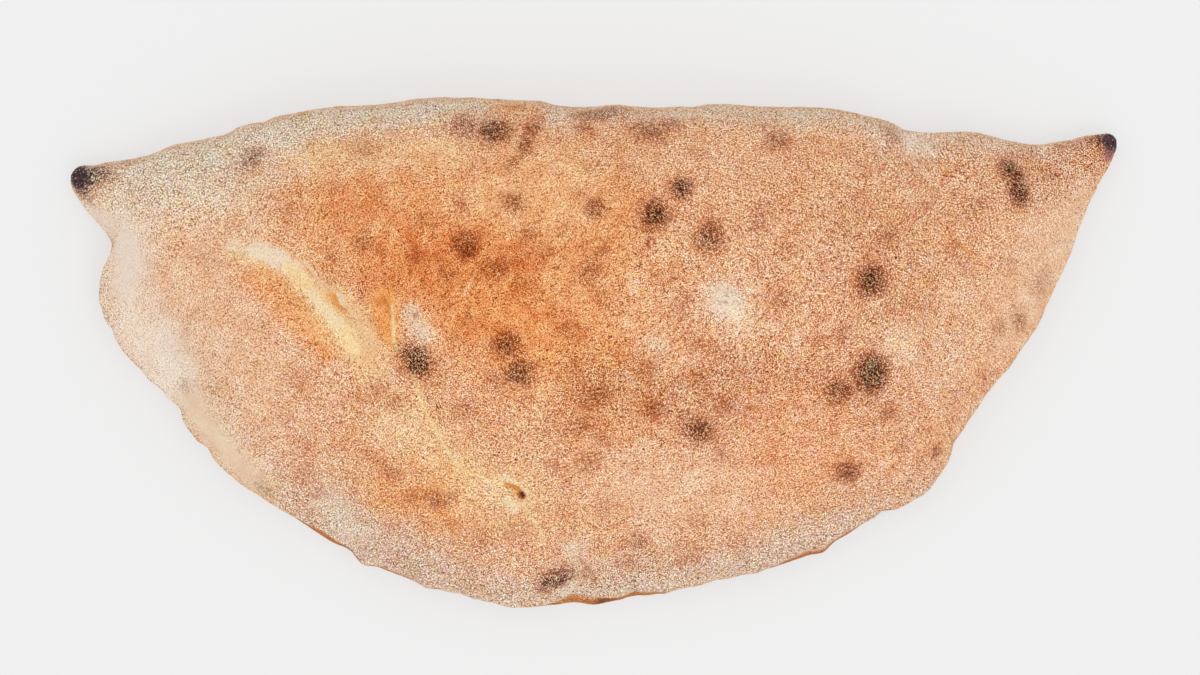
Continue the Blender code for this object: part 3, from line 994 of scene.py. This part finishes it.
scorch = {
    "calm": 0.55,                   # the speckle is this much weaker there
    "noise": {"size": 1.6, "roughness": 0.6},
    "noiseShare": (0.8, 0.6),
    "tipFade": 0.45,
    "rate": 0.15,                   # how much crust colour shows through a scorch of strength 1
    "reach": 1.3,
    "stipple": (0.6, 0.72),         # the lighter grains of a scorched place stay lighter
    "coarser": {"size": 0.9, "detail": 1.0},
    "coarserShare": 4.0,
    "stops": (                      # what is left of the crust's colour, from a faint spot to a black one
        (0.10, (0.50, 0.28, 0.18)),
        (0.42, (0.34, 0.165, 0.10)),
        (0.70, (0.175, 0.070, 0.042)),
        (0.95, (0.060, 0.028, 0.010)),
    ),
    "stopRange": 0.85,
    "floured": (1.0, 1.1, 1.03),    # and where flour lies over it
    "tipNoise": {"size": 1.2},
    "tipStops": ((0.3, (0.030, 0.018, 0.022)), (0.7, (0.11, 0.06, 0.07))),
}
underside = {
    "blotches": {"size": 26, "detail": 4.0, "roughness": 0.6},
    "stops": ((0.28, (0.62, 0.43, 0.26)), (0.5, (0.44, 0.24, 0.11)), (0.72, (0.24, 0.11, 0.05))),
    "spots": {"size": 9, "warp": 0.6, "shift": 0.7},
    "spotRange": (0.60, 0.70),
    "spotStrength": 0.85,
    "spotColour": (0.07, 0.04, 0.028, 1),
    "dust": {"size": 5, "detail": 4.0, "roughness": 0.7, "shift": 1.1},
    "dustRange": (0.55, 0.75),
    "dustStrength": 0.45,
    "dustColour": (0.72, 0.63, 0.52, 1),
}


def newMaterial(name):
    material = bpy.data.materials.new(name)
    material.use_nodes = True
    material.node_tree.nodes.clear()
    start = Wire(material.node_tree, None)
    return material, start, start.add("ShaderNodeTexCoord", {}, {}, "Object")


def read(start, name, output=2):
    return start.add("ShaderNodeAttribute", {"attribute_name": name}, {}, output)


def ramp(stops, value):
    return value.add("ShaderNodeValToRGB", {"stops": stops}, {0: value})


# the tint taken to the power of the steps, so below 0 it darkens
def tinted(tint, steps):
    return steps.add("ShaderNodeGamma", {}, {"Color": tint, "Gamma": steps})


# the scorched places and the burnt ends of the horns, over the crust's colour
def scorchedOver(colour, base, spot, charred, floured, lightness):
    wide, least = scorch["noiseShare"]
    strength = charred * (spot.noise(**scorch["noise"]) * wide + least)
    strength = strength + read(spot, "fade") * scorch["tipFade"]
    left = strength.math("POWER", scorch["rate"], strength)
    coarser = lightness + (spot.noise(**scorch["coarser"]) - 0.5) * scorch["coarserShare"]
    power, share = scorch["stipple"]
    stipple = strength.math("POWER", strength, power) * share * coarser
    cover = (1.0 - left) * scorch["reach"] - stipple
    cover = cover.math("MINIMUM", cover.math("MAXIMUM", cover, 0.0), 1.0)
    brown = ramp(scorch["stops"], strength * scorch["stopRange"])
    brown = brown.mixed(floured, brown.times(scorch["floured"]))
    colour = colour.mixed(cover, base.times(brown))
    return colour.mixed(read(spot, "burnt"), ramp(scorch["tipStops"], spot.noise(**scorch["tipNoise"])))


# toasted where it touched the oven floor, dark spots, flour in between
def toastedUnder(spot):
    toasted = ramp(underside["stops"], spot.noise(**underside["blotches"]))
    leopard = spot.noise(**underside["spots"]).step(*underside["spotRange"])
    toasted = toasted.mixed(leopard * underside["spotStrength"], underside["spotColour"])
    dust = spot.noise(**underside["dust"]).step(*underside["dustRange"])
    return toasted.mixed(dust * underside["dustStrength"], underside["dustColour"])


def crustMaterial():
    material, start, spot = newMaterial("bakedCrust")
    base = read(start, "tone", 0)
    amount = read(start, "grain")
    floured = read(start, "floured")
    charred = read(start, "char")

    # sandy grains: each cell has its own lightness, and each clump is painted lighter in its middle and
    # darker in the gaps, as painted light and shade of the grains
    cells = {"Vector": spot, "Scale": 1000.0 / finish["grainSize"]}
    clumps = {"Vector": spot, "Scale": 1000.0 / finish["clumpSize"], "Randomness": finish["clumpDisorder"]}
    clumpGap = start.add("ShaderNodeTexVoronoi", {}, clumps, "Distance")
    cellColour = start.add("ShaderNodeTexVoronoi", {}, cells, "Color")
    cellGap = start.add("ShaderNodeTexVoronoi", {}, cells, "Distance")
    cellTone = start.add("ShaderNodeRGBToBW", {}, {0: cellColour})
    byCell, paintedGapShade = finish["contrast"]
    lightness = (cellTone - 0.5) * byCell + (0.5 - clumpGap) * paintedGapShade
    darker, beyond, darkest = finish["pepper"]
    peppered = lightness.math("MINIMUM", lightness, lightness * darker)
    peppered = peppered + lightness.math("MINIMUM", lightness + beyond, 0.0) * darkest
    calm = 1.0 - charred.math("MINIMUM", charred, 1.0) * scorch["calm"]
    oneStep = start.add("ShaderNodeMix", {"data_type": "RGBA"}, {
        0: floured, 6: (*finish["tint"], 1), 7: (*finish["flouredTint"], 1)}, 2)
    speckled = tinted(oneStep, peppered * amount * calm * finish["speckle"])

    wide, narrow = ((spot.noise(**texture) - 0.5) * steps for texture, steps in finish["blotches"])
    mottled = tinted((*finish["mottleTint"], 1), (wide + narrow) * read(start, "mottle"))

    jitter = cellColour.less(0.5).times(finish["hueJitter"])
    for size, strength in finish["huePatches"]:
        sockets = {"Vector": spot, "Scale": 1000 / size, "Detail": 1.0}
        patchy = start.add("ShaderNodeTexNoise", {}, sockets, "Color")
        jitter = jitter.plus(patchy.less(0.5).times(strength))
    rising, least = finish["hueSpread"]
    jitter = start.add("ShaderNodeVectorMath", {"operation": "SCALE"}, {
        0: jitter, "Scale": amount * rising + least})

    colour = base.times(mottled).times(speckled).times(jitter.plus(1.0))
    colour = scorchedOver(colour, base, spot, charred, floured, lightness)
    colour = colour.mixed(read(start, "under"), toastedUnder(spot).times(speckled))
    colour = colour.vector("MINIMUM", finish["lightest"])

    gaps, grit, grains, waves = finish["reliefParts"]
    height = (0.5 - cellGap) * gaps + spot.noise(**finish["grit"]) * grit + cellTone * grains
    height = height + (spot.noise(**finish["waves"]) - 0.5) * waves
    rising, least = finish["reliefSpread"]
    sockets = {"Height": height * (amount * rising + least), "Strength": 1.0,
               "Distance": finish["grainDepth"] * mm}
    bump = start.add("ShaderNodeBump", {}, sockets, "Normal")
    rough = finish["roughness"] - charred * finish["charGloss"] - read(start, "burnt") * finish["tipGloss"]
    shader = start.add("ShaderNodeBsdfPrincipled", {}, {
        "Base Color": colour, "Roughness": rough, "Normal": bump, "Specular IOR Level": finish["shine"]})
    start.add("ShaderNodeOutputMaterial", {}, {"Surface": shader})
    return material


baked = crustMaterial()
shell.data.materials.clear()
shell.data.materials.append(baked)
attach(shell, "root")
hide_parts("calzone")
crustTree = BVHTree.FromObject(shell, bpy.context.evaluated_depsgraph_get())
print("crust finished")


# the flake that stands up beside the tear

flake = {
    "across": 8,
    "along": 12,
    "tornEdge": [(335.5, 292.5), (338.5, 296.5), (339.5, 300.5), (342, 304), (345.5, 307.5)],
    "rootEdge": [(344, 290), (348, 295), (350.5, 299.5), (351, 303.5), (349.5, 307.5)],
    "lift": 0.75,                   # millimetres, the torn edge above the crust
    "liftFade": 1.6,
    "sink": 0.45,                   # millimetres, the root below it
    "sinkFade": 1.5,
    "thickness": 0.4,
    "ragged": (0.25, 0.35),         # height, and how many waves a pixel
    "curl": (0.12, 0.76),           # where its arch starts, and how much of an arch it is
    "edgeColour": (234, 206, 172),
    "edgeFade": 0.7,
    "speckle": 0.25,
    "mottling": 0.2,
}


def between(line, share):
    at = share * (len(line) - 1)
    i = min(int(at), len(line) - 2)
    return np.array(line[i]) + (at - i) * (np.array(line[i + 1]) - np.array(line[i]))


def makeFlake():
    bm = bmesh.new()
    bmesh.ops.create_grid(bm, x_segments=flake["across"], y_segments=flake["along"], size=0.5)
    tints = []
    for v in bm.verts:
        u, w = v.co.x + 0.5, v.co.y + 0.5
        x, y = between(flake["tornEdge"], w) * (1 - u) + between(flake["rootEdge"], w) * u
        hit, normal = crustTree.ray_cast(*pixelRay(x, y))[:2]
        ragged = flake["ragged"][0] * noise.noise(Vector((x, y, 0)) * flake["ragged"][1])
        arch = math.sin(math.pi * (flake["curl"][0] + flake["curl"][1] * w))
        curl = flake["lift"] * (1 - u) ** flake["liftFade"] * arch
        v.co = hit + normal * (curl + ragged * (1 - u) - flake["sink"] * u ** flake["sinkFade"]) * mm
        local = tone[pointTree.find(hit)[1]]
        tints.append(local + (1 - u) ** flake["edgeFade"] * (albedo(flake["edgeColour"]) - local))
    bmesh.ops.recalc_face_normals(bm, faces=bm.faces)
    made = newObject("tornFlake", bm)
    if made.data.polygons[0].normal.z < 0:
        made.data.flip_normals()
    storeColours(made.data, "tone", np.array(tints))
    storeValues(made.data, "grain", np.full(len(tints), flake["speckle"]))
    storeValues(made.data, "mottle", np.full(len(tints), flake["mottling"]))
    made.data.materials.append(baked)
    wall = made.modifiers.new("thickness", "SOLIDIFY")
    wall.thickness = flake["thickness"] * mm
    wall.offset = -1
    rounding = made.modifiers.new("rounding", "SUBSURF")
    rounding.levels = 1
    rounding.render_levels = 1
    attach(made, "root")


pointTree = KDTree(len(shaped))
for i, point in enumerate(shaped * mm):
    pointTree.insert(point, i)
pointTree.balance()
makeFlake()
print("flake torn")


# semolina grains, loose on the crust: one small solid repeated over it

semolina = {
    "count": 22000,
    "halfWidths": (0.11, 0.20),     # millimetres
    "sunk": 0.35,                   # how far out of the crust a grain's middle sits, in half widths
    "colour": (250, 232, 208),
    "paleness": (0.15, 0.75),       # how far a grain's colour goes from the crust's to its own
    "charred": (0.6, 0.5),          # how much darker, and less pale, on a scorched place
    "lowest": 2.0,                  # millimetres above the floor
    "steepest": -0.3,               # of the faces that carry grains: 0 is upright, below it overhangs
    "dusty": (0.15, 1.2, 1.3),      # from this much speckle on, up to this much more, how suddenly
    "boxGap": 0.4,                  # millimetres
    "seed": 11,
    "toast": {"size": 0.6},
    "toastRange": (0.45, 0.7, 0.0, 0.25),
    "toastColour": (0.62, 0.42, 0.24, 1),
    "roughness": (0.6, 0.2),        # least, and what the noise adds
    "roughSize": 0.4,
}


def makeSemolina():
    draw = np.random.default_rng(semolina["seed"])
    shell.data.calc_loop_triangles()
    corners = np.empty(len(shell.data.loop_triangles) * 3, int)
    shell.data.loop_triangles.foreach_get("vertices", corners)
    corners = corners.reshape(-1, 3)
    a, b, c = (shaped[corners[:, i]] for i in range(3))
    normal = np.cross(b - a, c - a)
    area = np.linalg.norm(normal, axis=1)
    normal /= area[:, None]
    least, most, power = semolina["dusty"]
    dusty = (grain[corners].mean(axis=1) - least).clip(0, most) ** power
    inside = ((a > low + semolina["boxGap"]) & (a < high - semolina["boxGap"])).all(axis=1)
    reached = inside * (a[:, 2] > semolina["lowest"]) * (normal[:, 2] > semolina["steepest"])
    chance = area * dusty * reached
    chosen = draw.choice(len(area), semolina["count"], p=chance / chance.sum())

    count = semolina["count"]
    first, second = draw.random((2, count, 1))
    flip = first + second > 1
    first, second = np.where(flip, 1 - first, first), np.where(flip, 1 - second, second)
    middle = a[chosen] + first * (b - a)[chosen] + second * (c - a)[chosen]
    half = draw.uniform(*semolina["halfWidths"], (count, 3))
    middle += normal[chosen] * half.mean(axis=1)[:, None] * semolina["sunk"]
    turns = np.linalg.qr(draw.normal(size=(count, 3, 3)))[0]
    turns[np.linalg.det(turns) < 0, :, 0] *= -1

    bm = bmesh.new()
    bmesh.ops.create_uvsphere(bm, u_segments=4, v_segments=2, radius=1)
    bmesh.ops.triangulate(bm, faces=bm.faces)
    bm.verts.index_update()
    pattern = np.array([v.co for v in bm.verts])
    faces = np.array([[v.index for v in f.verts] for f in bm.faces])
    bm.free()
    points = np.einsum("gij,gpj->gpi", turns, pattern * half[:, None, :]) + middle[:, None, :]
    steps = np.arange(count)[:, None, None] * len(pattern)
    mesh = bpy.data.meshes.new("semolinaGrains")
    mesh.from_pydata((points * mm).reshape(-1, 3).tolist(), [], (faces + steps).reshape(-1, 3).tolist())
    mesh.shade_smooth()
    made = addObject("semolinaGrains", mesh)

    pale = draw.uniform(*semolina["paleness"], (count, 1))
    dark = char[corners[chosen, 0]].clip(0, 1)[:, None]
    darker, lessPale = semolina["charred"]
    local = tone[corners[chosen, 0]] * (1 - darker * dark)
    pale = pale * (1 - lessPale * dark)
    tint = local + pale * (albedo(semolina["colour"]) - local)
    storeColours(mesh, "tone", np.repeat(tint, len(pattern), axis=0))
    mesh.materials.append(semolinaMaterial())
    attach(made, "root")
    print("semolina:", len(mesh.polygons), "triangles")


def semolinaMaterial():
    material, start, spot = newMaterial("semolina")
    tint = read(start, "tone", "Color")
    share = spot.noise(**semolina["toast"]).step(*semolina["toastRange"])
    least, added = semolina["roughness"]
    shader = start.add("ShaderNodeBsdfPrincipled", {}, {
        "Base Color": tint.mixed(share, semolina["toastColour"]),
        "Roughness": spot.noise(semolina["roughSize"]) * added + least})
    start.add("ShaderNodeOutputMaterial", {}, {"Surface": shader})
    return material


makeSemolina()
